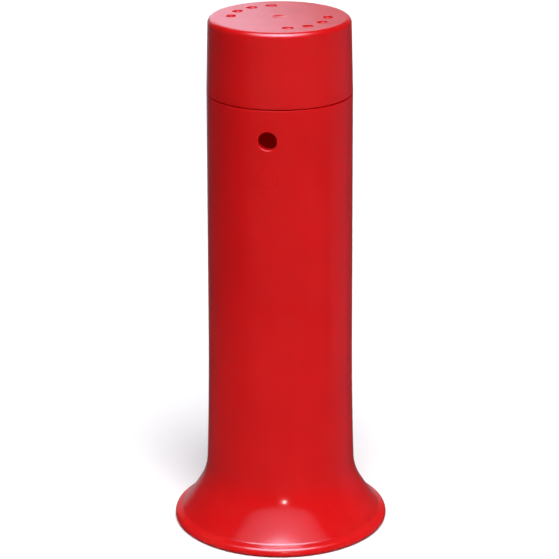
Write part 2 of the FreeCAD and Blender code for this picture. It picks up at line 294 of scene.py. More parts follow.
def turned_ring(name, outline, place=around_z):
    """A ring-shaped piece, turned from a closed outline."""
    skin = Skin()
    skin.grid(outline, COLUMNS, place, wrap=True)
    return skin.build(name)


def weighted(piece):
    """Normals that follow the larger faces, so that flats stay flat beside their rounded edges."""
    piece.modifiers.new("normals", "WEIGHTED_NORMAL").keep_sharp = True
    return piece


# -------------------------------- the moulded tank

def shell_outside():
    """Post and foot from the crease above the rim up to the shoulder's edge."""
    throat = (118.8 * MM, 52.5 * MM)
    waist = (106.85 * MM, 95.0 * MM)
    taper = (103.5 * MM, 275.0 * MM)
    top = (SHOULDER_R, SHOULDER_Z)
    flare_radius = 277.0 * MM
    throat_radius = 91.4 * MM
    waist_radius = 6200.0 * MM
    runs = [
        arc(CREASE, throat, flare_radius, -1, 3.0 * MM),
        arc(throat, waist, throat_radius, -1, 3.0 * MM),
        arc(waist, taper, waist_radius, -1, 8.0 * MM),
        line(taper, top, 8.0 * MM),
    ]
    return joined(runs, [0, 0, 0])


def rim_outside():
    """The rim, from the flat under it round its lip to the crease."""
    toe = 4.0 * MM
    lip_radius = 7.3 * MM
    lip_low = (RIM_R, BASE_Z + toe)
    lip_high = (RIM_R, 5.6 * MM)
    ledge = (151.2 * MM, 12.0 * MM)
    runs = [
        line((LAND_R, BASE_Z), (RIM_R - toe, BASE_Z), 2.0 * MM),
        arc((RIM_R - toe, BASE_Z), lip_low, toe, 1, 0.8 * MM),
        line(lip_low, lip_high, 1.0 * MM),
        arc(lip_high, ledge, lip_radius, 1, 0.9 * MM),
        line(ledge, CREASE, 1.3 * MM),
    ]
    return joined(runs, [0, 0, 0, 0.6 * MM])


def inward(points, distance):
    """The same run of points moved square to itself, to the left of its way."""
    moved = []
    for number, spot in enumerate(points):
        before = points[max(number - 1, 0)]
        after = points[min(number + 1, len(points) - 1)]
        along = (after - before).normalized()
        moved.append(spot + Vector((-along.y, along.x)) * distance)
    return moved


def radius_at(points, z):
    """The radius of an upward run of points at a height."""
    for low, high in zip(points, points[1:]):
        if low.y <= z <= high.y:
            return lerp(low.x, high.x, (z - low.y) / (high.y - low.y))
    return points[0].x if z < points[0].y else points[-1].x


class Port:
    """A feature that looks straight out of the post: its axis is level and passes the middle.

    Its flat places are measured across and above that axis."""

    def __init__(self, azimuth, height, outside, inside):
        self.azimuth = azimuth
        self.out = Vector((math.cos(azimuth), math.sin(azimuth), 0))
        self.across = Vector((-math.sin(azimuth), math.cos(azimuth), 0))
        self.height = height
        self.outside = outside
        self.inside = inside

    def flats(self, skin, loop):
        """The flat places of a loop of points."""
        points = [skin.points[index] for index in loop]
        return [Vector((point.dot(self.across), point.z - self.height)) for point in points]

    def at(self, flat, distance):
        """The point at a flat place, at a distance out from the post's axis."""
        return self.out * distance + self.across * flat.x + Vector((0, 0, self.height + flat.y))

    def on_wall(self, wall, flat, proud):
        radius = radius_at(wall, self.height + flat.y)
        return self.at(flat, math.sqrt(radius ** 2 - flat.x ** 2) + proud)

    def on_outside(self, flat, proud=0):
        return self.on_wall(self.outside, flat, proud)

    def on_inside(self, flat, proud=0):
        return self.on_wall(self.inside, flat, proud)


def circle_ring(flats, radius):
    """Each point of a loop, moved to a circle in its own direction."""
    return [flat.normalized() * radius for flat in flats]


def blended(flats, goal, part):
    """Each point of a loop, moved part of the way to its place in another loop."""
    return [flat.lerp(end, part) for flat, end in zip(flats, goal)]


def approach(skin, loop, port, flats, radius):
    """Rings on the post's outside, from a window's edge in to a circle."""
    goal = circle_ring(flats, radius)
    for part in (0.35, 0.7, 1):
        loop = skin.ring(loop, [port.on_outside(f) for f in blended(flats, goal, part)])
    return loop


def add_blank_pad(skin, loop, port):
    """The plain raised round pad under the fill hole, with a soft edge."""
    edge = 1.4 * MM
    proud = 0.35 * MM
    flats = port.flats(skin, loop)
    loop = approach(skin, loop, port, flats, BLANK_R + edge)
    for part in (0.25, 0.5, 0.75, 1):
        ring = circle_ring(flats, BLANK_R + edge * (1 - part))
        loop = skin.ring(loop, [port.on_outside(f, proud * ease(part)) for f in ring])
    for share in (0.9, 0.6, 0.3):
        ring = circle_ring(flats, BLANK_R * share)
        loop = skin.ring(loop, [port.on_outside(f, proud) for f in ring])
    skin.fan(loop, port.on_outside(Vector((0, 0)), proud))


def add_fill_hole(skin, outer_loop, inner_loop, port):
    """The fill hole: a rounded lip outside and a moulded collar that reaches into the tank."""
    lip = 1.2 * MM
    edge = 0.8 * MM
    fillet = 1.5 * MM
    flats = port.flats(skin, outer_loop)
    loop = approach(skin, outer_loop, port, flats, FILL_R + lip)
    for degrees in (22.5, 45, 67.5, 90):
        turn = math.radians(degrees)
        ring = circle_ring(flats, FILL_R + lip * (1 - math.sin(turn)))
        loop = skin.ring(loop, [port.on_outside(f, -lip * (1 - math.cos(turn))) for f in ring])
    quarter = [math.radians(degrees) for degrees in (0, 30, 60, 90)]
    for turn in quarter:
        ring = circle_ring(flats, FILL_R + edge * (1 - math.cos(turn)))
        loop = skin.ring(loop, [port.at(f, COLLAR_END + edge * (1 - math.sin(turn))) for f in ring])
    for turn in quarter:
        ring = circle_ring(flats, COLLAR_R - edge * (1 - math.sin(turn)))
        loop = skin.ring(loop, [port.at(f, COLLAR_END + edge * (1 - math.cos(turn))) for f in ring])
    for turn in quarter:
        ring = circle_ring(flats, COLLAR_R + fillet * (1 - math.cos(turn)))
        loop = skin.ring(loop, [port.on_inside(f, -fillet * (1 - math.sin(turn))) for f in ring])
    halfway = blended(ring, port.flats(skin, inner_loop), 0.5)
    loop = skin.ring(loop, [port.on_inside(f) for f in halfway])
    skin.bridge(loop, inner_loop)


def add_drain_boss(skin, outer_loop, inner_loop, port):
    """The round boss at the back of the foot, faired into the flare, with the bore for its bush."""
    fairing = 3.0 * MM
    steepest = 0.6              # the share of the boss's height that its fairing may take up
    face_rounding = 1.0 * MM
    end_rounding = 0.5 * MM
    bore_rounding = 0.3 * MM
    bore = BUSH_R + 0.05 * MM
    flats = port.flats(skin, outer_loop)
    loop = approach(skin, outer_loop, port, flats, BOSS_R + fairing)
    feet = [port.on_outside(flat) for flat in circle_ring(flats, BOSS_R)]
    for part in (0.25, 0.5, 0.75, 1):
        ring = circle_ring(flats, BOSS_R + fairing * (1 - part) ** 2)
        points = []
        for flat, base in zip(ring, feet):
            rise = min(fairing, (BOSS_FACE_Y - face_rounding - base.dot(port.out)) * steepest)
            points.append(port.on_outside(flat, rise * part ** 2))
        loop = skin.ring(loop, points)
    for degrees in (0, 30, 60, 90):
        turn = math.radians(degrees)
        ring = circle_ring(flats, BOSS_R - face_rounding * (1 - math.cos(turn)))
        face = BOSS_FACE_Y - face_rounding * (1 - math.sin(turn))
        loop = skin.ring(loop, [port.at(f, face) for f in ring])
    rings = [(BUSH_R + 1.5 * MM, BOSS_FACE_Y), (BUSH_R + bore_rounding, BOSS_FACE_Y),
             (bore, BOSS_FACE_Y - bore_rounding), (bore, BOSS_END_Y),
             (BOSS_R - end_rounding, BOSS_END_Y), (BOSS_R, BOSS_END_Y + end_rounding)]
    for radius, distance in rings:
        loop = skin.ring(loop, [port.at(f, distance) for f in circle_ring(flats, radius)])
    inner_flats = port.flats(skin, inner_loop)
    for part in (0, 0.35, 0.7):
        ring = blended(circle_ring(flats, BOSS_R), inner_flats, part)
        loop = skin.ring(loop, [port.on_inside(f) for f in ring])
    skin.bridge(loop, inner_loop)


def add_pad_pocket(skin, loop, azimuth):
    """The round pocket that a rubber pad is pressed into, with a rounded edge."""
    middle = Vector((PAD_RING_R * math.cos(azimuth), PAD_RING_R * math.sin(azimuth)))
    flats = [skin.points[index].xy - middle for index in loop]
    roof = PAD_TOP_Z + PAD_GAP
    rings = [(PAD_R + 0.9 * MM, BASE_Z), (PAD_R + 0.5 * MM, BASE_Z + 0.1 * MM),
             (PAD_R + 0.25 * MM, BASE_Z + 0.4 * MM), (PAD_R + 0.2 * MM, PAD_TOP_Z - 0.2 * MM),
             (PAD_R, roof), (PAD_R * 0.5, roof)]
    for radius, z in rings:
        spots = [middle + flat for flat in circle_ring(flats, radius)]
        loop = skin.ring(loop, [Vector((spot.x, spot.y, z)) for spot in spots])
    skin.fan(loop, Vector((middle.x, middle.y, roof)))


def shell_outline(post, inner_wall):
    """Half section of the tank: underside, rim, post, shoulder, mouth, inner wall and floor."""
    recess = [(0, UNDERSIDE_Z), (LAND_R - 9.0 * MM, UNDERSIDE_Z), (LAND_R, BASE_Z)]
    underside = polyline(recess, 9.0 * MM, 1.6 * MM)
    ceiling = SHOULDER_Z - WALL
    shoulder = [(SHOULDER_R, SHOULDER_Z), (MOUTH_R, SHOULDER_Z), (MOUTH_R, ceiling),
                (SHOULDER_R - WALL, ceiling)]
    shoulder_run = polyline(shoulder, 2.4 * MM, 0.8 * MM)
    gutter_z = 8.0 * MM
    floor_z = UNDERSIDE_Z + WALL
    floor_corners = [inner_wall[0], (147.0 * MM, gutter_z), (LAND_R, gutter_z),
                     (LAND_R - 11.0 * MM, floor_z), (0, floor_z)]
    floor = polyline(floor_corners, 9.0 * MM, 1.2 * MM)
    return joined([underside, rim_outside(), post, shoulder_run, inner_wall[::-1], floor],
                  [1.2 * MM, 1.5 * MM, 1.2 * MM, 1.2 * MM, 0])


def make_shell():
    """The tank as one closed skin, with its fill hole, blank pad, drain boss and pad pockets."""
    # how far each window reaches below and above its feature's middle, and half its columns
    fill_window = (22.0 * MM, 22.0 * MM, 7)
    blank_window = (20.0 * MM, 20.0 * MM, 6)
    drain_window = (23.5 * MM, 27.0 * MM, 8)
    pocket_reach = PAD_R + 1.6 * MM
    pocket_columns = 3

    post = shell_outside()
    ceiling = SHOULDER_Z - WALL
    inner_wall = [spot for spot in inward(post, WALL) if spot.y < ceiling]
    inner_wall.append(Vector((SHOULDER_R - WALL, ceiling)))
    outline = shell_outline(post, inner_wall)
    top_row = max(range(len(outline)), key=lambda row: outline[row].y)
    skin = Skin()
    skin.grid(outline, COLUMNS, lambda spot, azimuth: around_z(spot, azimuth + FILL_AZIMUTH))

    def outside_row(z):
        return min(range(top_row), key=lambda row: abs(outline[row].y - z))

    def inside_row(outer):
        """The inside row that lies square behind an outside row."""
        goal = outline[outer]
        return min(range(top_row + 1, len(outline)),
                   key=lambda row: abs((outline[row] - goal).length - WALL))

    def windows(port, below, above, half_columns, through=True):
        """The edge of a port's window outside and, if it goes through the wall, inside."""
        middle = column_at(port.azimuth - FILL_AZIMUTH)
        columns = (middle - half_columns, middle + half_columns)
        low = outside_row(port.height - below)
        high = outside_row(port.height + above)
        edges = [skin.window(low, high, *columns)]
        if through:
            inner = inside_row(low)
            edges.append(skin.window(inner, inner - (high - low), *columns))
        return edges

    fill = Port(FILL_AZIMUTH, FILL_Z, post, inner_wall)
    add_fill_hole(skin, *windows(fill, *fill_window), fill)
    blank = Port(FILL_AZIMUTH, BLANK_Z, post, inner_wall)
    add_blank_pad(skin, *windows(blank, *blank_window, through=False), blank)
    drain = Port(DRAIN_AZIMUTH, DRAIN_Z, post, inner_wall)
    add_drain_boss(skin, *windows(drain, *drain_window), drain)
    first = row_at_radius(outline, BASE_Z, PAD_RING_R - pocket_reach)
    last = row_at_radius(outline, BASE_Z, PAD_RING_R + pocket_reach)
    for number in range(PAD_COUNT):
        azimuth = 2 * math.pi * number / PAD_COUNT
        middle = column_at(azimuth - FILL_AZIMUTH)
        loop = skin.window(first, last, middle - pocket_columns, middle + pocket_columns)
        add_pad_pocket(skin, loop, azimuth)
    return skin.build("tank_shell")


# -------------------------------- neck, cap and seal

def lug_height(azimuth, z, start_z, height):
    """How far a thread lug stands out at a place: four rising lugs with rounded edges and ends."""
    edge_rounding = 0.8 * MM
    end_slope = 3.0 * MM
    past = azimuth % (2 * math.pi / LUG_STARTS)
    if past > LUG_ARC:
        return 0
    middle = start_z + THREAD_RISE * past
    from_edge = LUG_THICKNESS / 2 - abs(z - middle)
    from_end = min(past, LUG_ARC - past) * NECK_OUTER_R
    side = ease((from_edge + edge_rounding / 2) / edge_rounding)
    return height * side * ease(from_end / end_slope)


def make_neck():
    """The welded ring: spigot, flange, wall with its four lugs, and a rounded rim."""
    flange_top = SHOULDER_Z + 3.0 * MM
    corners = [(NECK_INNER_R, neck_low.z), (NECK_OUTER_R, neck_low.z), (NECK_OUTER_R, SHOULDER_Z),
               (NECK_FLANGE_R, SHOULDER_Z), (NECK_FLANGE_R, flange_top),
               (NECK_OUTER_R, flange_top), (NECK_OUTER_R, neck_high.z),
               (NECK_INNER_R, neck_high.z)]

    def place(spot, azimuth):
        if spot.x > NECK_OUTER_R - 0.01 * MM and spot.y > flange_top:
            grown = lug_height(azimuth, spot.y, NECK_LUG_Z, NECK_LUG_HEIGHT)
            return around_z(Vector((spot.x + grown, spot.y)), azimuth)
        return around_z(spot, azimuth)
    return turned_ring("neck_ring_piece", closed_ring(corners, 0.5 * MM, 0.5 * MM), place)


def cap_outline():
    """Half section of the cap from the dimple over the skirt to the ribs and the hub inside."""
    roof = CAP_TOP_Z - WALL
    flat_r = CAP_TOP_R - CAP_ROUNDING
    skirt_top = CAP_TOP_Z - CAP_ROUNDING
    inner_top_r = CAP_TOP_R - WALL
    inner_low_r = CAP_BOTTOM_R - WALL
    dimple = 10.0 * MM
    dimple_depth = 1.4 * MM
    dimple_bend = (dimple ** 2 + dimple_depth ** 2) / (2 * dimple_depth)
    rib = 2.5 * MM
    seal_rib = 91.0 * MM
    plug_rib = 86.5 * MM
    plug_rib_low = neck_high.z - 8.0 * MM
    hub = dimple + WALL
    hub_low = roof - 20.0 * MM
    runs = [
        arc((0, CAP_TOP_Z - dimple_depth), (dimple, CAP_TOP_Z), dimple_bend, 1, 0.8 * MM),
        line((dimple, CAP_TOP_Z), (flat_r, CAP_TOP_Z), 2.2 * MM),
        arc((flat_r, CAP_TOP_Z), (CAP_TOP_R, skirt_top), CAP_ROUNDING, -1, 0.9 * MM),
        line((CAP_TOP_R, skirt_top), (CAP_BOTTOM_R, CAP_BOTTOM_Z), 5.0 * MM),
        line((CAP_BOTTOM_R, CAP_BOTTOM_Z), (inner_low_r, CAP_BOTTOM_Z), 1.0 * MM),
        line((inner_low_r, CAP_BOTTOM_Z), (inner_top_r, skirt_top), 0.6 * MM),
        arc((inner_top_r, skirt_top), (flat_r, roof), CAP_ROUNDING - WALL, 1, 0.9 * MM),
    ]
    outside = joined(runs, [0.5 * MM, 0, 0, 0.8 * MM, 0.8 * MM, 0])
    ribs = [(flat_r, roof), (seal_rib, roof), (seal_rib, seal_high.z),
            (seal_rib - rib, seal_high.z), (seal_rib - rib, roof), (plug_rib, roof),
            (plug_rib, plug_rib_low), (plug_rib - rib, plug_rib_low), (plug_rib - rib, roof),
            (hub, roof), (hub, hub_low), (0, hub_low)]
    return joined([outside, polyline(ribs, 4.0 * MM, 0.35 * MM)], [0.2 * MM])


def oval(flat):
    """Half the way across an oval recess in the direction of flat."""
    half_length = 8.0 * MM
    half_width = 6.5 * MM
    straight = half_length - half_width
    way = flat.normalized()
    if abs(way.y) * straight > abs(way.x) * half_width:
        return way * (half_width / abs(way.y))
    along = abs(way.x) * straight
    return way * (along + math.sqrt(max(0, along ** 2 - straight ** 2 + half_width ** 2)))


def add_recess(skin, loop, azimuth):
    """One plain oval recess in the cap's top, with rounded edges."""
    # from the rounded edge down the wall to the floor: (outside the oval, below the top) in mm
    profile = ((0.6, 0), (0.3, 0.06), (0.1, 0.25), (0.0, 0.6), (-0.05, 1.6), (-0.3, 2.0),
               (-0.8, 2.2), (-2.5, 2.2), (-4.5, 2.2))
    out = Vector((math.cos(azimuth), math.sin(azimuth)))
    across = Vector((-out.y, out.x))
    middle = out * RECESS_RING_R

    def points(flats, sunk):
        spots = [middle + across * flat.x + out * flat.y for flat in flats]
        return [Vector((spot.x, spot.y, CAP_TOP_Z - sunk)) for spot in spots]
    offsets = [skin.points[index].xy - middle for index in loop]
    flats = [Vector((offset.dot(across), offset.dot(out))) for offset in offsets]
    ovals = [oval(flat) for flat in flats]
    loop = skin.ring(loop, points(blended(ovals, flats, 0.5), 0))
    for spread, sunk in profile:
        ring = [edge * (edge.length + spread * MM) / edge.length for edge in ovals]
        loop = skin.ring(loop, points(ring, sunk * MM))
    skin.fan(loop, points([Vector((0, 0))], sunk * MM)[0])


def make_web(azimuth):
    """One stiffening web under the cap's roof, as a closed thin plate."""
    near = 12.5 * MM
    far = 85.2 * MM
    half = 1.25 * MM
    low = CAP_TOP_Z - WALL - 19.5 * MM
    high = CAP_TOP_Z - WALL + 1.0 * MM
    edge_rounding = 0.5 * MM
    plate = bmesh.new()
    bmesh.ops.create_cube(plate, size=1)
    bmesh.ops.scale(plate, vec=(far - near, half * 2, high - low), verts=plate.verts)
    bmesh.ops.translate(plate, vec=((near + far) / 2, 0, (low + high) / 2), verts=plate.verts)
    lower = [edge for edge in plate.edges if all(vert.co.z < low + half for vert in edge.verts)
             and abs(edge.verts[0].co.y - edge.verts[1].co.y) < half]
    bmesh.ops.bevel(plate, geom=lower, offset=edge_rounding, segments=2, affect="EDGES", profile=0.5)
    turn = Matrix.Rotation(azimuth, 3, "Z")
    bmesh.ops.rotate(plate, cent=(0, 0, 0), matrix=turn, verts=plate.verts)
    return plate


def united(piece, plates):
    """The piece with separate closed solids merged into its skin."""
    together = bmesh.new()
    for plate in plates:
        part = bpy.data.meshes.new("plate")
        plate.to_mesh(part)
        plate.free()
        together.from_mesh(part)
    joint_mesh = bpy.data.meshes.new("plates")
    together.to_mesh(joint_mesh)
    together.free()
    tool = bpy.data.objects.new("plates", joint_mesh)
    bpy.context.scene.collection.objects.link(tool)
    union = piece.modifiers.new("union", "BOOLEAN")
    union.operation = "UNION"
    union.solver = "EXACT"
    union.object = tool
    evaluated = piece.evaluated_get(bpy.context.evaluated_depsgraph_get())
    whole = bpy.data.meshes.new_from_object(evaluated)
    piece.modifiers.clear()
    piece.data = whole
    bpy.data.objects.remove(tool)
    for face in whole.polygons:
        face.use_smooth = True
    return piece


def make_cap():
    """The cap: top with two facing arcs of oval recesses, skirt with lugs inside, ribs and webs."""
    arc_azimuth = math.radians(138.0)
    recess_step = math.radians(25.5)
    recess_columns = 5
    lug_zone = (CAP_LUG_Z - 5.0 * MM, CAP_LUG_Z + 15.0 * MM)
    skirt_height = CAP_TOP_Z - CAP_ROUNDING - CAP_BOTTOM_Z
    outline = cap_outline()

    def place(spot, azimuth):
        inner_r = lerp(CAP_BOTTOM_R, CAP_TOP_R, (spot.y - CAP_BOTTOM_Z) / skirt_height) - WALL
        if lug_zone[0] < spot.y < lug_zone[1] and abs(spot.x - inner_r) < 0.05 * MM:
            grown = lug_height(azimuth, spot.y, CAP_LUG_Z, inner_r - CAP_LUG_R)
            return around_z(Vector((spot.x - grown, spot.y)), azimuth)
        return around_z(spot, azimuth)
    skin = Skin()
    skin.grid(outline, COLUMNS, place)
    first = row_at_radius(outline, CAP_TOP_Z, RECESS_RING_R - RECESS_REACH)
    last = row_at_radius(outline, CAP_TOP_Z, RECESS_RING_R + RECESS_REACH)
    for facing in (0, math.pi):
        for number in range(RECESSES_IN_ARC):
            from_middle = (number - (RECESSES_IN_ARC - 1) / 2) * recess_step
            azimuth = arc_azimuth + facing + from_middle
            middle = column_at(azimuth)
            loop = skin.window(first, last, middle - recess_columns, middle + recess_columns)
            add_recess(skin, loop, azimuth)
    cap = skin.build("screw_cap_piece")
    return united(cap, [make_web(2 * math.pi * number / WEB_COUNT) for number in range(WEB_COUNT)])


def make_seal():
    """The flat rubber ring between the neck's rim and a rib under the cap's roof."""
    inner_r = seal_high.x - 5.1 * MM
    corners = [(inner_r, seal_low.z), (seal_high.x, seal_low.z),
               (seal_high.x, seal_high.z), (inner_r, seal_high.z)]
    return turned_ring("cap_seal_piece", closed_ring(corners, 0.6 * MM, 0.5 * MM))


# -------------------------------- the drain

def drain_turned(name, outline, wrap=False, shape=None):
    """Turns an outline about the drain's axis. An outline point's y is the way out from the boss.

    shape, where given, alters the radius of an outline point with its azimuth."""
    def place(spot, azimuth):
        radius = shape(spot, azimuth) if shape else spot.x
        return Vector((radius * math.cos(azimuth), BOSS_FACE_Y + spot.y,
                       DRAIN_Z - radius * math.sin(azimuth)))
    skin = Skin()
    skin.grid(outline, SMALL_COLUMNS, place, wrap)
    return skin.build(name)


def thread_ridge(y, azimuth):
    """From 0 to 1, how high a coarse right-hand thread stands at a place on its axis."""
    pitch = 4.0 * MM
    flank = 0.25            # the shares of the pitch that a flank and the whole ridge take up
    ridge = 0.85
    phase = (y / pitch - azimuth / (2 * math.pi)) % 1
    return ease(phase / flank) * ease((ridge - phase) / flank)


def make_bush():
    """The moulded-in bush with its flange inside the tank and the thread in its bore."""
    groove = 0.8 * MM
    mouth = -1.5 * MM
    end = BOSS_END_Y - BOSS_FACE_Y
    flange = end - BUSH_FLANGE
    corners = [(BUSH_R, -1.0 * MM), (BUSH_R, 0), (BUSH_BORE, 0), (BUSH_BORE, flange),
               (BUSH_FLANGE_R, flange), (BUSH_FLANGE_R, end), (BUSH_R, end)]

    def shape(spot, azimuth):
        """Shallow grooves of the same coarse thread as the plug's, cut behind the bore."""
        if spot.x > BUSH_BORE + 0.01 * MM or not flange + 2 * MM < spot.y < mouth:
            return spot.x
        return spot.x + groove * thread_ridge(spot.y, azimuth)
    outline = closed_ring(corners, 0.5 * MM, 0.35 * MM)
    return drain_turned("drain_bush_piece", outline, wrap=True, shape=shape)


def hexagon(radius, azimuth):
    """The radius of a hexagon with softened corners, radius being half its width."""
    sharp = 0.82            # how near to its corners the hexagon stays straight, 1 being sharp
    sixth = math.pi / 3
    past = azimuth % sixth - sixth / 2
    return min(radius / math.cos(past), radius / math.cos(sixth / 2 * sharp))


def make_plug():
    """The drain plug: helical thread, round head with a rounded edge, hexagon grip with a hollow."""
    head_low = 2.0 * MM
    head_top = 5.0 * MM
    head_r = plug_high.x
    tip = plug_low.y - BOSS_FACE_Y
    root = 9.2 * MM
    thread_height = 1.25 * MM
    thread_low = tip + 1.0 * MM
    thread_high = head_low - 1.0 * MM
    run_out = 2.0 * MM
    grip_top = plug_high.y - BOSS_FACE_Y
    grip_r = 10.5 * MM * math.cos(math.pi / 6)
    hollow_r = 6.2 * MM
    hollow_floor_r = 5.6 * MM
    hollow_floor = grip_top - 4.0 * MM
    corners = [(0, tip), (root - 0.8 * MM, tip), (root, thread_low), (root, head_low),
               (head_r, head_low), (head_r, head_top), (grip_r, head_top), (grip_r, grip_top),
               (hollow_r, grip_top), (hollow_floor_r, hollow_floor), (0, hollow_floor)]

    def shape(spot, azimuth):
        if thread_low < spot.y < thread_high and spot.x > root - 0.05 * MM:
            fade = ease((spot.y - thread_low) / run_out) * ease((thread_high - spot.y) / run_out)
            return spot.x + thread_height * fade * thread_ridge(spot.y, azimuth)
        on_grip = hollow_r + 0.2 * MM < spot.x < grip_r + 0.3 * MM
        if spot.y > head_top - 0.01 * MM and on_grip:
            return hexagon(spot.x, azimuth)
        return spot.x
    return drain_turned("drain_plug_piece", polyline(corners, 0.45 * MM, 0.4 * MM), shape=shape)


def make_washer():
    """The rubber washer under the plug's head."""
    radius = washer_high.x
    top = 1.97 * MM
    corners = [(BUSH_BORE, 0), (radius, 0), (radius, top), (BUSH_BORE, top)]
    return drain_turned("drain_washer_piece", closed_ring(corners, 0.4 * MM, 0.4 * MM), wrap=True)


# -------------------------------- rubber pads

def make_pad(number):
    """One round foot pad with two rings moulded in its underside."""
    azimuth = 2 * math.pi * number / PAD_COUNT
    middle = Vector((PAD_RING_R * math.cos(azimuth), PAD_RING_R * math.sin(azimuth), 0))
    top = PAD_TOP_Z - PAD_GAP
    groove_depth = 0.5 * MM
    corners = [(0, top), (PAD_R, top), (PAD_R, 0)]
    for groove_r in (6.4 * MM, 2.8 * MM):
        corners += [(groove_r + 1.0 * MM, 0), (groove_r + 0.6 * MM, groove_depth),
                    (groove_r - 0.6 * MM, groove_depth), (groove_r - 1.0 * MM, 0)]
    corners.append((0, 0))
    skin = Skin()
    skin.grid(polyline(corners, 1.0 * MM, 0.2 * MM), PAD_COLUMNS, around_z)
    skin.points = [point + middle for point in skin.points]
    return skin.build("foot_pad_piece_%d" % (number + 1))


# -------------------------------- materials

# linear RGB and alpha
RED_DEEP = (0.575, 0.0046, 0.0054, 1)
RED_BRIGHT = (0.635, 0.0060, 0.0066, 1)
RED_FLOW = (0.53, 0.0044, 0.0050, 1)
RED_WORN = (0.70, 0.18, 0.16, 1)
FLOOR_DUST = (0.42, 0.33, 0.28, 1)
RUBBER_BLACK = (0.016, 0.016, 0.017, 1)
RUBBER_BLOOM = (0.11, 0.10, 0.092, 1)
NYLON_BLACK = (0.018, 0.018, 0.019, 1)
NYLON_RUBBED = (0.048, 0.047, 0.046, 1)
WHITE = (1, 1, 1, 1)


def feed(links, socket, value):
    """Gives an input socket a plain value or another node's output."""
    if isinstance(value, bpy.types.NodeSocket):
        links.new(value, socket)
    else:
        socket.default_value = value


def mixed_colour(tree, part, first, second):
    """Two colours mixed, with part of the second."""
    node = tree.nodes.new("ShaderNodeMix")
    node.data_type = "RGBA"
    for socket, value in ((0, part), (6, first), (7, second)):     # factor, A and B for colours
        feed(tree.links, node.inputs[socket], value)
    return node.outputs[2]


class Paint:
    """A procedural material in the making. Its textures lie in the piece's own metres."""

    def __init__(self, name):
        self.material = bpy.data.materials.new(name)
        self.material.use_nodes = True
        self.tree = self.material.node_tree
        self.shader = self.tree.nodes["Principled BSDF"]
        self.where = self.tree.nodes.new("ShaderNodeTexCoord").outputs["Object"]
        self.height = self.made("ShaderNodeSeparateXYZ", {"Vector": self.where}).outputs["Z"]

    def made(self, kind, inputs, **settings):
        """A node. Each input is a value or another node's output."""
        node = self.tree.nodes.new(kind)
        for name, value in settings.items():
            setattr(node, name, value)
        for socket, value in inputs.items():
            feed(self.tree.links, node.inputs[socket], value)
        return node

    def noise(self, scale, detail=2, stretch=(1, 1, 1)):
        """Cloudy variation around 0.5. scale is per metre, and stretch alters it along each axis."""
        where = self.made("ShaderNodeMapping", {"Vector": self.where, "Scale": stretch})
        inputs = {"Vector": where.outputs["Vector"], "Scale": scale, "Detail": detail}
        return self.made("ShaderNodeTexNoise", inputs).outputs["Fac"]

    def spread(self, value, low, high, to_low=0, to_high=1):
        """A value between low and high carried to between to_low and to_high, and held there."""
        inputs = {"Value": value, "From Min": low, "From Max": high,
                  "To Min": to_low, "To Max": to_high}
        return self.made("ShaderNodeMapRange", inputs).outputs["Result"]

    def maths(self, operation, first, second):
        return self.made("ShaderNodeMath", {0: first, 1: second}, operation=operation).outputs[0]

    def distance(self, first, second):
        """How far apart two values are."""
        return self.maths("ABSOLUTE", self.maths("SUBTRACT", first, second), 0)

    def mixed(self, part, first, second):
        return mixed_colour(self.tree, part, first, second)

    def scratches(self, scale, stretch, width, share):
        """Thin broken lines: 1 on a scratch and 0 elsewhere."""
        thin = self.spread(self.distance(self.noise(scale, 1, stretch), 0.5), 0, width, 1, 0)
        patches = self.spread(self.noise(scale * 1.7, 2), 1 - share, 1.05 - share)
        return self.maths("MULTIPLY", thin, patches)

    def bump(self, height, distance, under=None):
        """Relief of a height from 0 to 1, distance deep in metres, laid over other relief."""
        inputs = {"Height": height, "Distance": distance, "Strength": 1}
        if under is not None:
            inputs["Normal"] = under
        return self.made("ShaderNodeBump", inputs).outputs["Normal"]

    def set(self, name, value):
        feed(self.tree.links, self.shader.inputs[name], value)

    def finish(self, colour, roughness, normal):
        self.set("Base Color", colour)
        self.set("Roughness", roughness)
        self.set("Normal", normal)
        return self.material


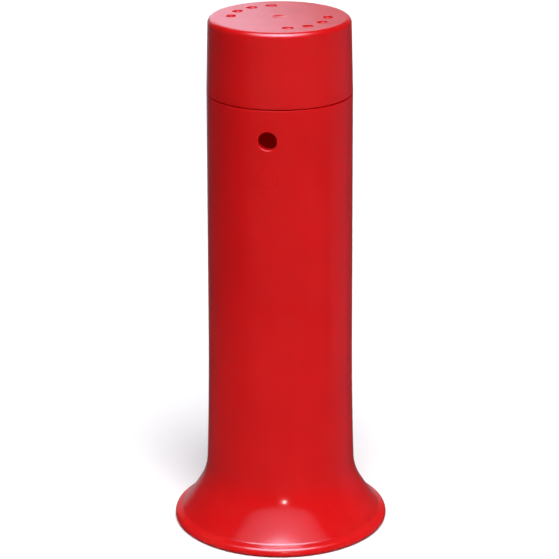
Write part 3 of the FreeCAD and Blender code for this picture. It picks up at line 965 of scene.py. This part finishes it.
def red_plastic(name, gloss):
    """Moulded red polyethylene: slightly cloudy pigment, orange peel, hair scratches, foot scuffs.

    It shines less in the narrow gap at the seam, and light goes a little way into it."""
    paint = Paint(name)
    paint.set("IOR", 1.46)
    paint.set("Subsurface Weight", 0.35)
    paint.set("Subsurface Radius", (1.0, 0.12, 0.12))
    paint.set("Subsurface Scale", 0.02)
    from_seam = paint.distance(paint.height, SHOULDER_Z)
    paint.set("Specular IOR Level", paint.spread(from_seam, 1.5 * MM, 2.5 * MM, 0.12, 0.5))

    pigment = paint.spread(paint.noise(7, 3), 0.35, 0.65)
    flow = paint.spread(paint.noise(38, 2, (1, 1, 0.06)), 0.45, 0.75, 0, 0.35)
    hairs = paint.scratches(45, (1, 1, 0.12), 0.010, 0.36)
    low_down = paint.spread(paint.height, 2.0 * MM, 16.0 * MM, 1, 0)
    scuffs = paint.maths("MULTIPLY", paint.spread(paint.noise(240, 3), 0.62, 0.70), low_down)
    worn = paint.maths("MAXIMUM", paint.maths("MULTIPLY", hairs, 0.02),
                       paint.maths("MULTIPLY", scuffs, 0.12))
    dust = paint.maths("MULTIPLY", paint.spread(paint.noise(24, 4), 0.45, 0.75),
                       paint.spread(paint.height, 0.0, 70.0 * MM, 0.03, 0.0))
    colour = paint.mixed(pigment, RED_DEEP, RED_BRIGHT)
    for part, over in ((flow, RED_FLOW), (worn, RED_WORN), (dust, FLOOR_DUST)):
        colour = paint.mixed(part, colour, over)

    roughness = paint.spread(paint.noise(30, 3), 0.3, 0.7, gloss - 0.025, gloss + 0.035)
    roughness = paint.maths("ADD", roughness, paint.maths("MULTIPLY", worn, 0.8))
    peel = paint.bump(paint.noise(260, 2), 0.04 * MM)
    grain = paint.bump(paint.noise(1500, 2), 0.006 * MM, peel)
    waves = paint.bump(paint.noise(22, 1, (1, 1, 0.5)), 0.3 * MM, grain)
    cuts = paint.bump(paint.maths("SUBTRACT", 1, hairs), 0.01 * MM, waves)
    return paint.finish(colour, roughness, cuts)


def black_rubber(name, bloom_share):
    """Soft black rubber with a fine matt grain and a grey bloom."""
    paint = Paint(name)
    bloom = paint.spread(paint.noise(110, 4), 0.42, 0.72, 0, bloom_share)
    colour = paint.mixed(bloom, RUBBER_BLACK, RUBBER_BLOOM)
    roughness = paint.spread(paint.noise(240, 2), 0.3, 0.7, 0.56, 0.74)
    grain = paint.bump(paint.noise(2600, 2), 0.02 * MM)
    lumps = paint.bump(paint.noise(420, 2), 0.04 * MM, grain)
    return paint.finish(colour, roughness, lumps)


def black_nylon(name):
    """Black moulded nylon with a spark-eroded texture and lighter rubbed spots."""
    paint = Paint(name)
    rubbed = paint.spread(paint.noise(320, 3), 0.52, 0.72, 0, 0.5)
    colour = paint.mixed(rubbed, NYLON_BLACK, NYLON_RUBBED)
    roughness = paint.spread(paint.noise(500, 2), 0.3, 0.7, 0.36, 0.52)
    grain = paint.bump(paint.noise(1800, 2), 0.03 * MM)
    return paint.finish(colour, roughness, grain)


def studio_paint(name, shade):
    """Plain matt grey of the studio's floor and card."""
    paint = Paint(name)
    darker = shade * 0.99
    colour = paint.mixed(paint.spread(paint.noise(3, 2), 0.3, 0.7),
                         (darker, darker, darker, 1), (shade, shade, shade, 1))
    roughness = paint.spread(paint.noise(40, 2), 0.3, 0.7, 0.85, 0.95)
    return paint.finish(colour, roughness, paint.bump(paint.noise(400, 2), 0.02 * MM))


# -------------------------------- the studio

def add_sheet(name, corners, shade):
    """A flat sheet of the studio, which isn't part of the barrier and isn't mirrored in it."""
    mesh = bpy.data.meshes.new(name)
    mesh.from_pydata(corners, [], [(0, 1, 2, 3)])
    mesh.materials.append(studio_paint(name, shade))
    sheet = bpy.data.objects.new(name, mesh)
    sheet.visible_glossy = False
    bpy.context.scene.collection.objects.link(sheet)
    return sheet


def add_stage():
    """The pale floor, and a dark card out of sight on the left that deepens that side's shade."""
    half = 20
    low = -0.4 * MM
    add_sheet("studio_floor", [(-half, -half, low), (half, -half, low), (half, half, low),
                               (-half, half, low)], 0.91)
    side = -0.8
    front = -0.8
    back = 0.6
    high = 0.9
    card = add_sheet("dark_card", [(side, front, 0), (side, back, 0), (side, back, high),
                                   (side, front, high)], 0.02)
    card.visible_camera = False
    card.visible_shadow = False


def aimed(azimuth, elevation, distance, target=(0, 0, 0.35)):
    """A place seen from the target at an azimuth (0 in front, 90 to the right), looking back at it."""
    azimuth, elevation = math.radians(azimuth), math.radians(elevation)
    way = Vector((math.sin(azimuth) * math.cos(elevation),
                  -math.cos(azimuth) * math.cos(elevation), math.sin(elevation)))
    place = Matrix.Translation(Vector(target) + way * distance)
    return place @ way.to_track_quat("Z", "Y").to_matrix().to_4x4()


def add_light(name, kind, matrix, strength, colour=(1, 1, 1), glossy=True, **settings):
    """A lamp that is either seen in reflections only, or lights the surfaces only."""
    light = bpy.data.lights.new(name, kind)
    light.energy = strength
    light.color = colour
    for setting, value in settings.items():
        setattr(light, setting, value)
    lamp = bpy.data.objects.new(name, light)
    lamp.matrix_world = matrix
    lamp.visible_camera = False
    lamp.visible_glossy = glossy
    lamp.visible_diffuse = not glossy
    bpy.context.scene.collection.objects.link(lamp)


def add_lights():
    """A soft sun high in front and a weak one behind light the barrier.

    Two wide panels overhead, a small lamp in front and a panel behind give its reflections."""
    cool = (0.8, 0.87, 1.10)
    flare = (0, -0.13, 0.04)
    flare_spot = (0.0055, -0.112, 0.068)
    post_top = (0, 0, 0.75)
    add_light("soft_sun", "SUN", aimed(8, 63.5, 4), 3.9, glossy=False, angle=math.radians(36))
    add_light("fill_sun", "SUN", aimed(172, 22, 4), 0.9, glossy=False, angle=math.radians(60))
    add_light("panel_top", "AREA", aimed(0, 75, 2.2, flare), 28, cool, shape="ELLIPSE", size=2.1,
              size_y=2.2, spread=math.radians(70))
    add_light("panel_wide", "AREA", aimed(0, 64, 2.2, flare), 30, cool, shape="ELLIPSE", size=4.2,
              size_y=3.8, spread=math.radians(96))
    add_light("lamp", "SPOT", aimed(5, 14.2, 3.0, flare_spot), 30, shadow_soft_size=0.03,
              spot_size=math.radians(14), spot_blend=0.6)
    behind = aimed(-166.5, 23.5, 1.68, post_top) @ Matrix.Rotation(math.radians(39), 4, "Z")
    add_light("panel_behind", "AREA", behind, 3.6, cool, shape="SQUARE", size=1.0)


def lobe(tree, way, azimuth, elevation, edge, core):
    """1 within core degrees of a direction, falling to 0 at edge degrees."""
    towards = tree.nodes.new("ShaderNodeVectorMath")
    towards.operation = "DOT_PRODUCT"
    feed(tree.links, towards.inputs[0], way)
    feed(tree.links, towards.inputs[1], aimed(azimuth, elevation, 1, (0, 0, 0)).translation)
    ramp = tree.nodes.new("ShaderNodeMapRange")
    ramp.interpolation_type = "SMOOTHSTEP"
    feed(tree.links, ramp.inputs["From Min"], math.cos(math.radians(edge)))
    feed(tree.links, ramp.inputs["From Max"], math.cos(math.radians(core)))
    feed(tree.links, ramp.inputs["Value"], towards.outputs["Value"])
    return ramp.outputs["Result"]


def add_world():
    """Dim surroundings, with a pale backdrop behind and a faint glow low on the right."""
    dim = (0.06, 0.06, 0.07, 1)
    backdrop = (0.42, 0.42, 0.46, 1)
    glow = (0.13, 0.13, 0.18, 1)
    world = bpy.data.worlds.new("studio")
    world.use_nodes = True
    bpy.context.scene.world = world
    tree = world.node_tree
    way = tree.nodes.new("ShaderNodeTexCoord").outputs["Generated"]
    colour = mixed_colour(tree, lobe(tree, way, -174, 6, 33, 16), dim, backdrop)
    colour = mixed_colour(tree, lobe(tree, way, 111, -12, 30, 12), colour, glow)
    seen = tree.nodes.new("ShaderNodeLightPath").outputs["Is Camera Ray"]
    colour = mixed_colour(tree, seen, colour, WHITE)
    feed(tree.links, tree.nodes["Background"].inputs["Color"], colour)


def add_camera():
    """The camera of the reference view: a long lens from 3.4 m in front, looking down a little."""
    place = (0, -3.370, 1.561)
    down = math.radians(19.537)
    roll = math.radians(-0.14)
    pan = math.radians(0.016)
    data = bpy.data.cameras.new("camera")
    data.sensor_width = 36
    data.lens = 161.0
    camera = bpy.data.objects.new("camera", data)
    bpy.context.scene.collection.objects.link(camera)
    turn = Matrix.Rotation(pan, 4, "Z") @ Matrix.Rotation(math.pi / 2 - down, 4, "X")
    turn = turn @ Matrix.Rotation(roll, 4, "Z")
    camera.matrix_world = Matrix.Translation(place) @ turn
    bpy.context.scene.camera = camera


# -------------------------------- the whole barrier

def fit(piece, body, node, material):
    """Gives a piece its finish and its body, and hides the CAD node that it stands for."""
    weighted(piece)
    piece.data.materials.clear()
    piece.data.materials.append(material)
    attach(piece, body)
    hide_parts(node)


def dress():
    """Makes every piece of the barrier and gives each its material."""
    nylon = black_nylon("black_nylon")
    rubber = black_rubber("seal_rubber", 0.25)
    pad_rubber = black_rubber("pad_rubber", 0.7)
    tank_red = red_plastic("red_polyethylene", 0.14)
    cap_red = red_plastic("red_cap_polyethylene", 0.18)
    neck_red = red_plastic("red_neck", 0.26)
    fit(make_shell(), "tank", "column_shell", tank_red)
    fit(make_neck(), "tank", "neck_ring", neck_red)
    fit(make_cap(), "cap", "screw_cap", cap_red)
    fit(make_seal(), "cap_ring", "cap_seal", rubber)
    fit(make_bush(), "tank", "drain_bush", nylon)
    fit(make_plug(), "drain", "drain_plug", nylon)
    fit(make_washer(), "drain_washer", "drain_seal", rubber)
    for number in range(PAD_COUNT):
        fit(make_pad(number), "tank", "foot_pads", pad_rubber)


dress()
add_stage()
add_lights()
add_world()
add_camera()
bpy.context.scene.view_settings.view_transform = "Standard"
